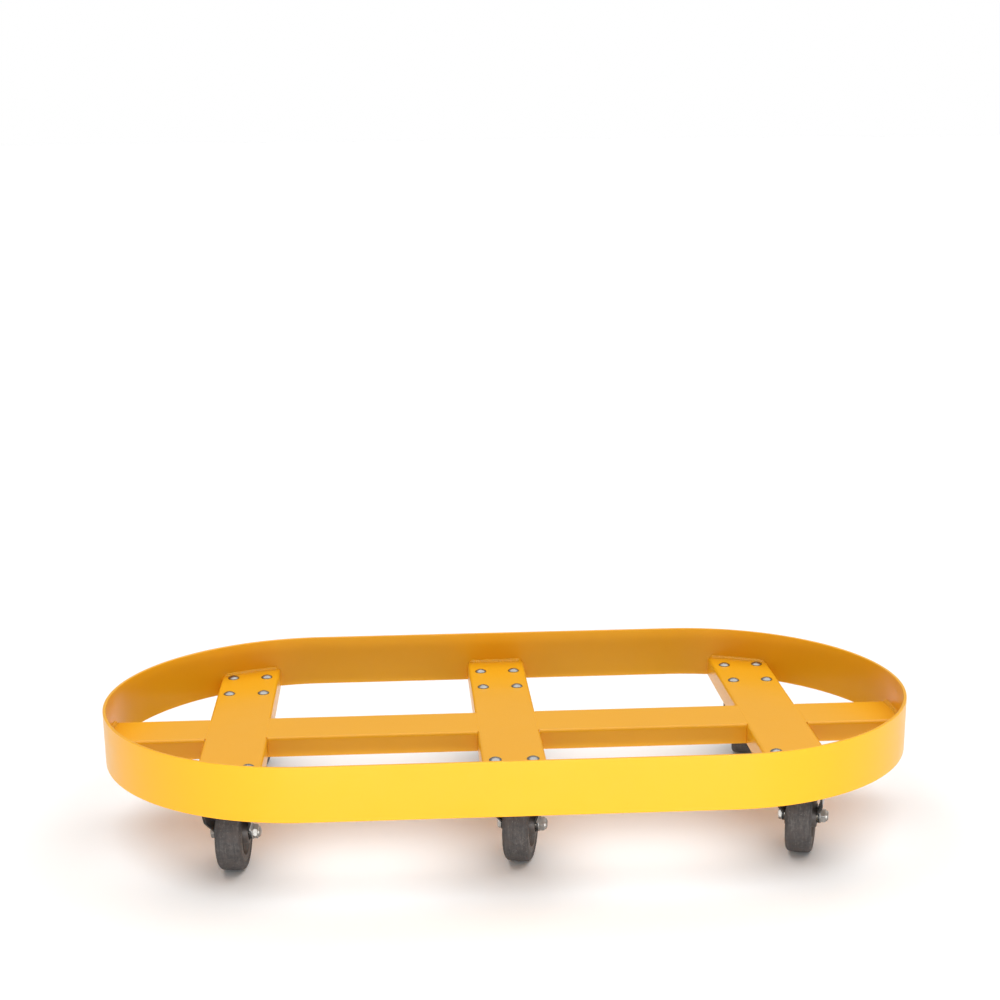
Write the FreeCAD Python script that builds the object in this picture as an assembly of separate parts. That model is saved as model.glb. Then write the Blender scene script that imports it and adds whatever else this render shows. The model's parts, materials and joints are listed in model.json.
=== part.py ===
import FreeCAD, Part
import math
import os
from FreeCAD import Vector

# Tandem drum dolly: an open rim band round an inverted-channel frame, on six
# swivel casters. Millimetres, +Z up, +X along the length, floor at Z = 0,
# origin on the floor under the middle of the dolly.

# Rim band: one flat bar section bent to a round-ended loop
END_RADIUS = 320.5
HALF_STRAIGHT = 302.0
BAND_THICKNESS = 4.8
BAND_HEIGHT = 83.0
BAND_BOTTOM = 123.0
BAND_EDGE_ROUND = 1.2

# Frame members: inverted channels, folded from plate, all one section
CHANNEL_WIDTH = 96.0
CHANNEL_DEPTH = 31.5
CHANNEL_WALL = 4.0
CHANNEL_BEND = 5.0
OUTER_MEMBER_X = 420.0
WELD_LEG = 4.5

# Swivel casters
CASTER_Y = 217.0
TRAIL = 35.5
WHEEL_RADIUS = 57.5
TREAD_WIDTH = 38.5
SHOULDER_ROUND = 7.0
CORE_RADIUS = 44.0
RECESS_RADIUS = 35.0
HUB_RADIUS = 18.0
HUB_HALF = 23.5
FORK_INSIDE_HALF = 24.5
FORK_WALL = 3.5
FORK_SHOULDER_HALF = 34.5
FORK_CROWN_RADIUS = 38.0
AXLE_BOSS_RADIUS = 11.5
PLATE_X = 80.0
PLATE_Y = 108.0
PLATE_WALL = 4.0
BOLT_X = 28.0
BOLT_Y = 43.0

# Fasteners and bearings
CASTER_BOLT_RADIUS = 3.95
CASTER_HOLE_RADIUS = 4.4
DOME_RADIUS = 9.5
DOME_HEIGHT = 4.4
AXLE_RADIUS = 6.35
AXLE_HEX = 19.0
AXLE_HEAD = 5.5
AXLE_WASHER = 1.6
AXLE_WASHER_RADIUS = 11.4
AXLE_NUT = 7.0
AXLE_COLLAR = 2.4
AXLE_END = 12.0
KINGPIN_RADIUS = 6.0
RUNNING_CLEARANCE = 0.06
BALL_RADIUS = 4.4
BALL_PITCH_RADIUS = 24.0
BALL_COUNT = 14
SLEEVE_RADIUS = 9.0
ROLLER_RADIUS = 1.9
ROLLER_COUNT = 12

# Heights that follow from the sizes above
INNER_RADIUS = END_RADIUS - BAND_THICKNESS
DECK_TOP = BAND_BOTTOM + CHANNEL_DEPTH
MOUNT_Z = DECK_TOP - CHANNEL_WALL
PLATE_BOTTOM = MOUNT_Z - PLATE_WALL
RACE_CEILING = MOUNT_Z - 9.0
CROWN_TOP = RACE_CEILING - 2 * BALL_RADIUS - 0.4
CROWN_BOTTOM = CROWN_TOP - 4.0
FORK_OUTSIDE_HALF = FORK_INSIDE_HALF + FORK_WALL

# Each caster: its name, the side of the dolly it is on, how far its wheel is
# turned from straight along Y in degrees towards +X, and how its axle bolt's
# head and nut ended up when they were tightened
CASTERS = [
    ("front_left", -1, -1, 5.5, 0.0),
    ("front_middle", 0, -1, 13.7, 30.0),
    ("front_right", 1, -1, 18.2, 22.0),
    ("rear_left", -1, 1, 9.0, 11.0),
    ("rear_middle", 0, 1, 4.0, 41.0),
    ("rear_right", 1, 1, 12.0, 5.0),
]

os.makedirs("parts", exist_ok=True)


def save(name, shape):
    shape.exportStep("parts/%s.step" % name)


def box(x0, x1, y0, y1, z0, z1):
    return Part.makeBox(x1 - x0, y1 - y0, z1 - z0, Vector(x0, y0, z0))


def upright(radius, z0, z1, x=0.0, y=0.0):
    return Part.makeCylinder(radius, z1 - z0, Vector(x, y, z0))


def crosswise(radius, x0, x1, y, z):
    return Part.makeCylinder(radius, x1 - x0, Vector(x0, y, z), Vector(1, 0, 0))


def hexagon(across_flats, height):
    corner = across_flats / math.sqrt(3)
    points = []
    for step in range(7):
        angle = math.radians(60 * step + 30)
        points.append(Vector(corner * math.cos(angle), corner * math.sin(angle), 0))
    prism = Part.Face(Part.makePolygon(points)).extrude(Vector(0, 0, height))
    # the chamfer that takes the corners off both ends of a hexagon
    blank = Part.makeCylinder(corner, height)
    return prism.common(blank.makeChamfer(corner - across_flats / 2, blank.Edges))


def turned_profile(points):
    """A solid of revolution about X, from (x, radius) points."""
    outline = [Vector(x, 0, r) for x, r in points]
    face = Part.Face(Part.makePolygon(outline + outline[:1]))
    return face.revolve(Vector(0, 0, 0), Vector(1, 0, 0), 360)


def stadium(radius, z0, z1):
    """A round-ended block whose end radius is given."""
    a = HALF_STRAIGHT
    edges = [
        Part.makeLine(Vector(-a, -radius, z0), Vector(a, -radius, z0)),
        Part.Arc(Vector(a, -radius, z0), Vector(a + radius, 0, z0), Vector(a, radius, z0)).toShape(),
        Part.makeLine(Vector(a, radius, z0), Vector(-a, radius, z0)),
        Part.Arc(Vector(-a, radius, z0), Vector(-a - radius, 0, z0), Vector(-a, -radius, z0)).toShape(),
    ]
    return Part.Face(Part.Wire(edges)).extrude(Vector(0, 0, z1 - z0))


# ---------------------------------------------------------------- frame

def rim_band():
    top = BAND_BOTTOM + BAND_HEIGHT
    band = stadium(END_RADIUS, BAND_BOTTOM, top).cut(stadium(INNER_RADIUS, BAND_BOTTOM, top))
    rims = []
    for edge in band.Edges:
        if edge.BoundBox.ZLength < 0.01:
            rims.append(edge)
    return band.makeFillet(BAND_EDGE_ROUND, rims)


def channel_along_y(half_length):
    """An inverted channel whose web is at deck level."""
    half = CHANNEL_WIDTH / 2
    outer = box(-half, half, -half_length, half_length, BAND_BOTTOM, DECK_TOP)
    corners = []
    for edge in outer.Edges:
        if edge.BoundBox.YLength > half_length and edge.BoundBox.ZMin > DECK_TOP - 1:
            corners.append(edge)
    outer = outer.makeFillet(CHANNEL_BEND, corners)
    inside = half - CHANNEL_WALL
    hollow = box(-inside, inside, -half_length, half_length, BAND_BOTTOM - 1, MOUNT_Z)
    corners = []
    for edge in hollow.Edges:
        if edge.BoundBox.YLength > half_length and edge.BoundBox.ZMin > MOUNT_Z - 1:
            corners.append(edge)
    return outer.cut(hollow.makeFillet(CHANNEL_BEND - CHANNEL_WALL, corners))


def bolt_places():
    """Centres of the four bolts of every caster."""
    places = []
    for _, side, row, _, _ in CASTERS:
        for dx in (-BOLT_X, BOLT_X):
            for dy in (-BOLT_Y, BOLT_Y):
                places.append((side * OUTER_MEMBER_X + dx, row * CASTER_Y + dy))
    return places


def cross_member(x):
    member = channel_along_y(END_RADIUS).translated(Vector(x, 0, 0))
    member = member.common(stadium(INNER_RADIUS, BAND_BOTTOM, DECK_TOP))
    # square punched holes stop the round-headed bolts from turning
    for bx, by in bolt_places():
        if abs(bx - x) < CHANNEL_WIDTH / 2:
            neck = CASTER_HOLE_RADIUS
            member = member.cut(box(bx - neck, bx + neck, by - neck, by + neck, MOUNT_Z - 1, DECK_TOP + 1))
    return member


def spine_member(x0, x1):
    middle = (x0 + x1) / 2
    member = channel_along_y((x1 - x0) / 2)
    member.rotate(Vector(0, 0, 0), Vector(0, 0, 1), 90)
    member.translate(Vector(middle, 0, 0))
    return member.common(stadium(INNER_RADIUS, BAND_BOTTOM, DECK_TOP))


def fillet_weld(cutter):
    """The part of a bead round the band's inner face that a member's end needs."""
    outer = stadium(INNER_RADIUS, DECK_TOP, DECK_TOP + WELD_LEG)
    inner = stadium(INNER_RADIUS - WELD_LEG, DECK_TOP, DECK_TOP + WELD_LEG)
    foot = []
    for edge in inner.Edges:
        if edge.BoundBox.ZMin > DECK_TOP + WELD_LEG - 0.01:
            foot.append(edge)
    slope = stadium(INNER_RADIUS - 0.3, DECK_TOP, DECK_TOP + WELD_LEG)
    upper = []
    for edge in slope.Edges:
        if edge.BoundBox.ZMin > DECK_TOP + WELD_LEG - 0.01:
            upper.append(edge)
    bead = outer.cut(inner).common(slope.makeChamfer(WELD_LEG - 0.5, upper))
    return bead.common(cutter)


def weld_beads():
    inset = CHANNEL_WIDTH / 2 - CHANNEL_BEND
    low = DECK_TOP - 1
    high = DECK_TOP + WELD_LEG + 1
    beads = []
    for x in (-OUTER_MEMBER_X, 0.0, OUTER_MEMBER_X):
        for y0, y1 in ((-END_RADIUS, 0), (0, END_RADIUS)):
            beads.append(fillet_weld(box(x - inset, x + inset, y0, y1, low, high)))
    reach = HALF_STRAIGHT + END_RADIUS
    beads.append(fillet_weld(box(-reach, -HALF_STRAIGHT - 200, -inset, inset, low, high)))
    beads.append(fillet_weld(box(HALF_STRAIGHT + 200, reach, -inset, inset, low, high)))
    return beads + butt_welds(inset)


def butt_welds(inset):
    """Flush beads in the grooves where the spine meets the cross members."""
    half = CHANNEL_WIDTH / 2
    member = channel_along_y(half)
    beads = []
    for x in (-OUTER_MEMBER_X, 0.0, OUTER_MEMBER_X):
        for side in (-1, 1):
            edge = side * half
            x0, x1 = sorted((edge, edge - side * CHANNEL_BEND))
            groove = box(x0, x1, -inset, inset, MOUNT_Z + 0.2, DECK_TOP - 0.3)
            beads.append(groove.cut(member).translated(Vector(x, 0, 0)))
    return beads


# ----------------------------------------------------- caster fasteners

def caster_bolt():
    ball = (DOME_RADIUS ** 2 + DOME_HEIGHT ** 2) / (2 * DOME_HEIGHT)
    centre = Vector(0, 0, DECK_TOP + DOME_HEIGHT - ball)
    head = Part.makeSphere(ball, centre).common(upright(DOME_RADIUS, DECK_TOP, DECK_TOP + ball))
    neck = 4.15
    square = box(-neck, neck, -neck, neck, MOUNT_Z + 0.3, DECK_TOP)
    shank = upright(CASTER_BOLT_RADIUS, PLATE_BOTTOM - 11, DECK_TOP)
    return head.fuse([square, shank]).removeSplitter()


def caster_washer():
    z0 = PLATE_BOTTOM - 2.0
    return upright(7.0, z0, PLATE_BOTTOM).cut(upright(CASTER_BOLT_RADIUS + 0.05, z0, PLATE_BOTTOM))


def caster_nut():
    nut = hexagon(12.7, 6.8).cut(Part.makeCylinder(CASTER_BOLT_RADIUS + 0.02, 6.8))
    return nut.translated(Vector(0, 0, PLATE_BOTTOM - 2.0 - 6.8))


def at_places(shape, places):
    return Part.makeCompound([shape.translated(Vector(x, y, 0)) for x, y in places])


# ----------------------------------------------------------- one caster
# Each piece is made with its swivel axis on Z and its wheel trailing to +Y.

def top_plate():
    half_x = PLATE_X / 2
    half_y = PLATE_Y / 2
    plate = box(-half_x, half_x, -half_y, half_y, PLATE_BOTTOM, MOUNT_Z)
    corners = [edge for edge in plate.Edges if edge.BoundBox.ZLength > PLATE_WALL - 0.01]
    plate = plate.makeFillet(10.0, corners)
    # the pressed ball race hangs below the plate and shields the balls
    plate = plate.fuse(upright(34.0, CROWN_TOP + 1.2, PLATE_BOTTOM + 1))
    plate = plate.cut(upright(30.5, CROWN_TOP + 1, RACE_CEILING))
    plate = plate.cut(upright(13.5, MOUNT_Z - 5.0, MOUNT_Z))
    plate = plate.cut(upright(KINGPIN_RADIUS + 0.05, RACE_CEILING - 1, MOUNT_Z))
    for x in (-BOLT_X, BOLT_X):
        for y in (-BOLT_Y, BOLT_Y):
            plate = plate.cut(upright(CASTER_HOLE_RADIUS, PLATE_BOTTOM - 1, MOUNT_Z + 1, x, y))
    return plate.removeSplitter()


def kingpin():
    head = upright(12.0, MOUNT_Z - 4.9, MOUNT_Z - 0.4)
    return head.fuse(upright(KINGPIN_RADIUS, CROWN_BOTTOM - 12.5, MOUNT_Z - 4.9)).removeSplitter()


def kingpin_nut():
    nut = hexagon(18.0, 8.0).fuse(Part.makeCylinder(15.0, 3.0, Vector(0, 0, 8.0)))
    nut = nut.cut(Part.makeCylinder(KINGPIN_RADIUS + 0.02, 11.0))
    return nut.removeSplitter().translated(Vector(0, 0, CROWN_BOTTOM - 0.35 - 11.0))


def swivel_balls():
    balls = []
    for step in range(BALL_COUNT):
        angle = 2 * math.pi * step / BALL_COUNT
        x = BALL_PITCH_RADIUS * math.cos(angle)
        y = BALL_PITCH_RADIUS * math.sin(angle)
        balls.append(Part.makeSphere(BALL_RADIUS, Vector(x, y, RACE_CEILING - BALL_RADIUS - 0.03)))
    return Part.makeCompound(balls)


def fork_section():
    """The fork seen from the front: a crown with legs that lean in to the axle."""
    wide = FORK_SHOULDER_HALF
    narrow = FORK_OUTSIDE_HALF
    foot = WHEEL_RADIUS - AXLE_BOSS_RADIUS - 1
    lean_low = WHEEL_RADIUS + AXLE_BOSS_RADIUS + 2.0
    lean_high = lean_low + 17.0
    outer = [(narrow, foot), (narrow, lean_low), (wide, lean_high), (wide, CROWN_TOP)]
    inner = [(wide, CROWN_BOTTOM), (wide, lean_high), (narrow, lean_low), (narrow, foot)]
    points = [(-x, z) for x, z in outer]
    points += outer[::-1]
    points += [(x - FORK_WALL, z) for x, z in inner[::-1]]
    points += [(FORK_WALL - x, z) for x, z in inner]
    outline = [Vector(x, -60, z) for x, z in points]
    return Part.Face(Part.makePolygon(outline + outline[:1])).extrude(Vector(0, 120, 0))


def rounded_bends(section):
    """Rounds the folds of the fork's plate: the crown's, then the legs'."""
    for radius, low, high, outside in (
        (5.5, CROWN_TOP - 0.1, CROWN_TOP + 0.1, True),
        (2.0, CROWN_BOTTOM - 0.1, CROWN_BOTTOM + 0.1, False),
        (8.0, WHEEL_RADIUS + AXLE_BOSS_RADIUS, CROWN_BOTTOM - 10, False),
    ):
        folds = []
        for edge in section.Edges:
            bound = edge.BoundBox
            if bound.YLength > 100 and low < bound.ZMin < high:
                folds.append(edge)
        section = section.makeFillet(radius, folds)
    return section


def fork_side():
    """The legs' outline seen from the side, wide under the crown, narrow at the axle."""
    reach = FORK_SHOULDER_HALF + 5
    axle = WHEEL_RADIUS

    def point(y, z):
        return Vector(-reach, y, z)

    crown_half = 24.5
    front_top = point(-crown_half, CROWN_TOP)
    front_shoulder = point(-22.0, axle + 48.5)
    front_waist = point(-2.0, axle + 21.5)
    front_foot = point(TRAIL - AXLE_BOSS_RADIUS + 0.5, axle + 3)
    rear_foot = point(TRAIL + AXLE_BOSS_RADIUS - 0.5, axle + 3)
    # above the channels' lower edges the legs keep inside them as they swivel
    rear_shoulder = point(33, axle + 54)
    rear_neck = point(25.6, BAND_BOTTOM - 0.6)
    rear_top = point(23.5, CROWN_TOP)
    outline = Part.Wire([
        Part.makeLine(rear_top, front_top),
        Part.makeLine(front_top, front_shoulder),
        Part.Arc(front_shoulder, front_waist, front_foot).toShape(),
        Part.makeLine(front_foot, rear_foot),
        Part.makeLine(rear_foot, rear_shoulder),
        Part.makeLine(rear_shoulder, rear_neck),
        Part.makeLine(rear_neck, rear_top),
    ])
    side = Part.Face(outline).extrude(Vector(2 * reach, 0, 0))
    return side.fuse(crosswise(AXLE_BOSS_RADIUS, -reach, reach, TRAIL, axle))


def fork():
    outside = FORK_OUTSIDE_HALF
    blank = fork_side().fuse(upright(FORK_CROWN_RADIUS, CROWN_BOTTOM, CROWN_TOP))
    body = rounded_bends(fork_section()).common(blank).removeSplitter()
    body = body.cut(crosswise(AXLE_RADIUS + 0.05, -outside, outside, TRAIL, WHEEL_RADIUS))
    return body.cut(upright(KINGPIN_RADIUS + RUNNING_CLEARANCE, CROWN_BOTTOM - 1, CROWN_TOP + 1))


def axle_bolt_set(clock):
    """The hexagon bolt, its washer and its lock nut, as three solids."""
    outside = FORK_OUTSIDE_HALF
    to_x = FreeCAD.Rotation(Vector(0, 0, 1), Vector(1, 0, 0))
    turned = FreeCAD.Rotation(Vector(0, 0, 1), clock)

    def along_x(shape, x):
        shape.Placement = FreeCAD.Placement(Vector(x, TRAIL, WHEEL_RADIUS), to_x * turned)
        return shape

    face = outside + AXLE_WASHER
    head = along_x(hexagon(AXLE_HEX, AXLE_HEAD), -outside - AXLE_HEAD)
    shank = crosswise(AXLE_RADIUS, -outside - 1, outside + AXLE_END, TRAIL, WHEEL_RADIUS)
    bolt = head.fuse(shank).removeSplitter()
    washer = crosswise(AXLE_WASHER_RADIUS, outside, face, TRAIL, WHEEL_RADIUS)
    nut = along_x(hexagon(AXLE_HEX, AXLE_NUT), face)
    collar = crosswise(8.2, face + AXLE_NUT - 1, face + AXLE_NUT + AXLE_COLLAR, TRAIL, WHEEL_RADIUS)
    hole = crosswise(AXLE_RADIUS + 0.02, outside, outside + 16, TRAIL, WHEEL_RADIUS)
    nut = nut.fuse(collar).removeSplitter().cut(hole)
    return Part.makeCompound([bolt, washer.cut(hole), nut])


def hub_sleeve():
    half = FORK_INSIDE_HALF
    tube = crosswise(SLEEVE_RADIUS, -half, half, TRAIL, WHEEL_RADIUS)
    return tube.cut(crosswise(AXLE_RADIUS + 0.05, -half, half, TRAIL, WHEEL_RADIUS))


def roller_bearing():
    pitch = SLEEVE_RADIUS + RUNNING_CLEARANCE + ROLLER_RADIUS
    rollers = []
    for step in range(ROLLER_COUNT):
        angle = 2 * math.pi * step / ROLLER_COUNT
        y = TRAIL + pitch * math.cos(angle)
        z = WHEEL_RADIUS + pitch * math.sin(angle)
        rollers.append(crosswise(ROLLER_RADIUS, -HUB_HALF + 2, HUB_HALF - 2, y, z))
    return Part.makeCompound(rollers)


def wheel_core():
    """A moulded wheel centre: hub, thin web with ribs, and a rim for the tyre."""
    bore = SLEEVE_RADIUS + RUNNING_CLEARANCE + 2 * ROLLER_RADIUS + 0.05
    rim_half = TREAD_WIDTH / 2 - 0.8
    web = 12.0
    one_side = [
        (HUB_HALF, bore),
        (HUB_HALF, HUB_RADIUS - 1.0),
        (HUB_HALF - 1.0, HUB_RADIUS),
        (web, HUB_RADIUS + 1.5),
        (web, RECESS_RADIUS - 1.5),
        (rim_half - 1.0, RECESS_RADIUS),
        (rim_half, RECESS_RADIUS + 1.0),
        (rim_half, CORE_RADIUS),
    ]
    other_side = [(-x, r) for x, r in reversed(one_side)]
    core = turned_profile(one_side + other_side)
    rib = box(-rim_half + 4, rim_half - 4, HUB_RADIUS - 2, RECESS_RADIUS + 1, -1.5, 1.5)
    for step in range(6):
        turned = rib.copy()
        turned.rotate(Vector(0, 0, 0), Vector(1, 0, 0), 60 * step)
        core = core.fuse(turned)
    return core.removeSplitter().translated(Vector(0, TRAIL, WHEEL_RADIUS))


def tyre():
    half = TREAD_WIDTH / 2
    ring = crosswise(WHEEL_RADIUS, -half, half, TRAIL, WHEEL_RADIUS)
    shoulders = []
    for edge in ring.Edges:
        if edge.BoundBox.XLength < 0.01:
            shoulders.append(edge)
    ring = ring.makeFillet(SHOULDER_ROUND, shoulders)
    return ring.cut(crosswise(CORE_RADIUS, -half - 1, half + 1, TRAIL, WHEEL_RADIUS))


def placed(shape, side, row, turn):
    """A caster piece at its place, turned clockwise seen from above."""
    piece = shape.copy()
    piece.rotate(Vector(0, 0, 0), Vector(0, 0, 1), -turn)
    piece.translate(Vector(side * OUTER_MEMBER_X, row * CASTER_Y, 0))
    return piece


# ------------------------------------------------------------- all parts

def save_frame():
    band = rim_band()
    reach = HALF_STRAIGHT + END_RADIUS + 1
    top = BAND_BOTTOM + BAND_HEIGHT
    save("rim_band_left", band.common(box(-reach, 0, -reach, reach, BAND_BOTTOM, top)))
    save("rim_band_right", band.common(box(0, reach, -reach, reach, BAND_BOTTOM, top)))
    save("cross_member_left", cross_member(-OUTER_MEMBER_X))
    save("cross_member_middle", cross_member(0.0))
    save("cross_member_right", cross_member(OUTER_MEMBER_X))
    half = CHANNEL_WIDTH / 2
    end = HALF_STRAIGHT + INNER_RADIUS
    save("spine_left_outer", spine_member(-end, -OUTER_MEMBER_X - half))
    save("spine_left_inner", spine_member(-OUTER_MEMBER_X + half, -half))
    save("spine_right_inner", spine_member(half, OUTER_MEMBER_X - half))
    save("spine_right_outer", spine_member(OUTER_MEMBER_X + half, end))
    save("weld_beads", Part.makeCompound(weld_beads()))


def save_fasteners():
    places = bolt_places()
    swivels = [(side * OUTER_MEMBER_X, row * CASTER_Y) for _, side, row, _, _ in CASTERS]
    save("caster_bolts", at_places(caster_bolt(), places))
    save("caster_lock_washers", at_places(caster_washer(), places))
    save("caster_nuts", at_places(caster_nut(), places))
    save("kingpins", at_places(kingpin(), swivels))
    save("kingpin_nuts", at_places(kingpin_nut(), swivels))
    save("swivel_balls", at_places(swivel_balls(), swivels))


def save_casters():
    fixed = top_plate()
    turning = {
        "fork": fork(),
        "hub_sleeve": hub_sleeve(),
        "roller_bearing": roller_bearing(),
        "wheel_core": wheel_core(),
        "tyre": tyre(),
    }
    for name, side, row, turn, clock in CASTERS:
        save("top_plate_%s" % name, placed(fixed, side, row, 0.0))
        save("axle_bolt_set_%s" % name, placed(axle_bolt_set(clock), side, row, turn))
        for piece, shape in turning.items():
            save("%s_%s" % (piece, name), placed(shape, side, row, turn))


save_frame()
save_fasteners()
save_casters()
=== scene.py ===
import json
import math
import random

import bmesh
import bpy
from mathutils import Matrix, Vector
from mathutils import noise as waves


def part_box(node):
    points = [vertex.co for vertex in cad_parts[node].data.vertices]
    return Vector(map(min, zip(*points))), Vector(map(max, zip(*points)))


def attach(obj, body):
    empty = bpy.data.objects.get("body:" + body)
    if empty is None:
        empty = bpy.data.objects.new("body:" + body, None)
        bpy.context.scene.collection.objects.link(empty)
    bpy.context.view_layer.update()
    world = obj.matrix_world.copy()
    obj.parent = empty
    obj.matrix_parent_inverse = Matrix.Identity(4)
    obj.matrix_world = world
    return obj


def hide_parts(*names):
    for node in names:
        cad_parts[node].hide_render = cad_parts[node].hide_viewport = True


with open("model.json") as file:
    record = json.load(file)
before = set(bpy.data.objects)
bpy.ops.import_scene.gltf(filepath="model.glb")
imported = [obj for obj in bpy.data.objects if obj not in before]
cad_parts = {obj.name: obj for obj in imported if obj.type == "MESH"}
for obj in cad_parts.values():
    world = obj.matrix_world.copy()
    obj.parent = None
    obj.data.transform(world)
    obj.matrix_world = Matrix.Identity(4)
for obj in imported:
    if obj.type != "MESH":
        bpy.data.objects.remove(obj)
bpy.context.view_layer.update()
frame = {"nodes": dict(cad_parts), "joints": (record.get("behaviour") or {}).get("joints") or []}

MM = 0.001
CASTERS = [name[len("tyre_"):] for name in frame["nodes"] if name.startswith("tyre_")]
JOINTS = {joint["name"]: joint for joint in frame["joints"]}

# ------------------------------------------------------------ sizes, from the CAD nodes
DECK_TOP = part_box("cross_member_middle")[1].z
MEMBER_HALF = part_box("cross_member_middle")[1].x
INNER_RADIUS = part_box("cross_member_middle")[1].y
END_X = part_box("spine_right_outer")[1].x - INNER_RADIUS
OUTER_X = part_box("top_plate_front_right")[0].x / 2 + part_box("top_plate_front_right")[1].x / 2
WHEEL_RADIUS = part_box("tyre_front_left")[1].z / 2

# tyre colours: clean rubber, its mottles, and the brown dust on it
RUBBER_DARK = (0.022, 0.0195, 0.0195)
RUBBER_MID = (0.046, 0.041, 0.039)
RUBBER_PALE = (0.090, 0.081, 0.076)
RUBBER_DUST = (0.060, 0.046, 0.041)
RUBBER_FLECK = (0.15, 0.14, 0.13)

# light levels, and how high the white wall reaches, as the upward part of a direction
CEILING = 0.40
WALL_TOP, CEILING_EDGE = 0.058, 0.125
STRIP_POWER = 105.0
OVERHEAD_POWER = 2.25

# the camera: metres, degrees, millimetres of lens, shifts as shares of the sensor's width
CAMERA_PLACE = (-0.16302, -2.65666, 1.0784)
CAMERA_YAW, CAMERA_PITCH, CAMERA_ROLL = 3.15, 16.94, -0.58
CAMERA_LENS = 64.46
CAMERA_SHIFT = (0.0046, 0.1521)

# sizes inside the nodes, in millimetres
WELD_LEG = 4.5
BOLT_X, BOLT_Y = 28.0, 43.0
DOME_RADIUS, DOME_HEIGHT = 9.5, 4.4
CASTER_BOLT_RADIUS, CASTER_NUT, CASTER_HEX = 3.95, 6.8, 12.7
PLATE_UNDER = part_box("caster_lock_washers")[1].z / MM
NUT_BOTTOM = (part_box("caster_nuts")[0].z - DECK_TOP) / MM
BOLT_END = (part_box("caster_bolts")[0].z - DECK_TOP) / MM
FORK_OUTSIDE = 28.0
AXLE_RADIUS, AXLE_HEX, AXLE_HEAD, AXLE_NUT, AXLE_END = 6.35, 19.0, 5.5, 7.0, 12.0
AXLE_WASHER, AXLE_WASHER_RADIUS = 1.6, 11.4
AXLE_PLAIN, AXLE_PITCH = 10.4, 1.27
HUB_HALF, TREAD_HALF, SHOULDER = 23.5, 19.25, 7.0
RIM_HALF = TREAD_HALF - 0.8
WEB_HALF = 12.0
CLOCKS = {
    "front_left": 0.0, "front_middle": 30.0, "front_right": 22.0,
    "rear_left": 11.0, "rear_middle": 41.0, "rear_right": 5.0,
}


# ---------------------------------------------------------------------- mesh building
# Points are built in millimetres, in the frame of the piece they belong to.
def blank():
    """A mesh being built: its points, its faces, and each face's material number."""
    return {"points": [], "faces": [], "slots": []}


def add_face(made, face, slot=0):
    made["faces"].append(face)
    made["slots"].append(slot)


def add_rings(made, rings, loop=False, caps=(False, False), slot=0):
    """Joins rings of equal length with quads. A ring of one point is a pole."""
    starts = []
    for ring in rings:
        starts.append(len(made["points"]))
        made["points"].extend(ring)
    pairs = list(zip(range(len(rings)), range(1, len(rings))))
    if loop:
        pairs.append((len(rings) - 1, 0))
    for a, b in pairs:
        count = max(len(rings[a]), len(rings[b]))
        for k in range(count):
            j = (k + 1) % count
            corners = [starts[a] + k, starts[a] + j, starts[b] + j, starts[b] + k]
            if len(rings[a]) == 1:
                corners = [starts[a], starts[b] + j, starts[b] + k]
            elif len(rings[b]) == 1:
                corners = [starts[a] + k, starts[a] + j, starts[b]]
            add_face(made, corners, slot)
    for wanted, ring, start in ((caps[0], rings[0], starts[0]), (caps[1], rings[-1], starts[-1])):
        if wanted:
            add_face(made, [start + k for k in range(len(ring))], slot)


def finish_mesh(name, mesh, angle, materials, even=False):
    for polygon in mesh.polygons:
        polygon.use_smooth = True
    mesh.set_sharp_from_angle(angle=math.radians(angle))
    for material in materials:
        mesh.materials.append(material)
    piece = bpy.data.objects.new(name, mesh)
    bpy.context.scene.collection.objects.link(piece)
    if even:
        smooth = piece.modifiers.new("even_normals", "WEIGHTED_NORMAL")
        smooth.keep_sharp = True
    return piece


def build(name, made, matrix=Matrix.Identity(4), angle=32.0, materials=(), shift=(0.0, 0.0, 0.0)):
    """An object from a built mesh: outward normals, smooth up to an angle, local coordinates kept."""
    mesh = bpy.data.meshes.new(name)
    points = [Vector(p) * MM for p in made["points"]]
    mesh.from_pydata([tuple(matrix @ p) for p in points], [], made["faces"])
    mesh.polygons.foreach_set("material_index", made["slots"])
    keep = mesh.attributes.new("local", "FLOAT_VECTOR", "POINT")
    flat = []
    for p in points:
        flat.extend(p + Vector(shift))
    keep.data.foreach_set("vector", flat)
    bm = bmesh.new()
    bm.from_mesh(mesh)
    bmesh.ops.recalc_face_normals(bm, faces=bm.faces)
    bm.to_mesh(mesh)
    bm.free()
    return finish_mesh(name, mesh, angle, materials)


def softened(name, node_name, width, matrix, materials, pick=None, shift=(0.0, 0.0, 0.0)):
    """A copy of a CAD node's mesh with its sharp edges rounded."""
    bm = bmesh.new()
    bm.from_mesh(frame["nodes"][node_name].data)
    bmesh.ops.remove_doubles(bm, verts=bm.verts, dist=0.002 * MM)
    bmesh.ops.dissolve_limit(bm, angle_limit=math.radians(0.4), verts=bm.verts, edges=bm.edges)
    sharp = []
    for edge in bm.edges:
        if len(edge.link_faces) == 2 and edge.calc_face_angle() > math.radians(35.0):
            sharp.append(edge)
    bmesh.ops.bevel(
        bm, geom=sharp, offset=width, segments=2, profile=0.5, affect="EDGES", clamp_overlap=True)
    back = matrix.inverted()
    turn = back.to_3x3()
    for face in bm.faces:
        face.material_index = pick(turn @ face.normal) if pick else 0
    mesh = bpy.data.meshes.new(name)
    bm.to_mesh(mesh)
    bm.free()
    keep = mesh.attributes.new("local", "FLOAT_VECTOR", "POINT")
    flat = []
    for vertex in mesh.vertices:
        flat.extend(back @ vertex.co + Vector(shift))
    keep.data.foreach_set("vector", flat)
    return finish_mesh(name, mesh, 40.0, materials, even=True)


def upright_frame(x, y, z, turn=0.0):
    """A frame at a place in millimetres, turned about Z."""
    return Matrix.Translation((x * MM, y * MM, z * MM)) @ Matrix.Rotation(turn, 4, "Z")


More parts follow.
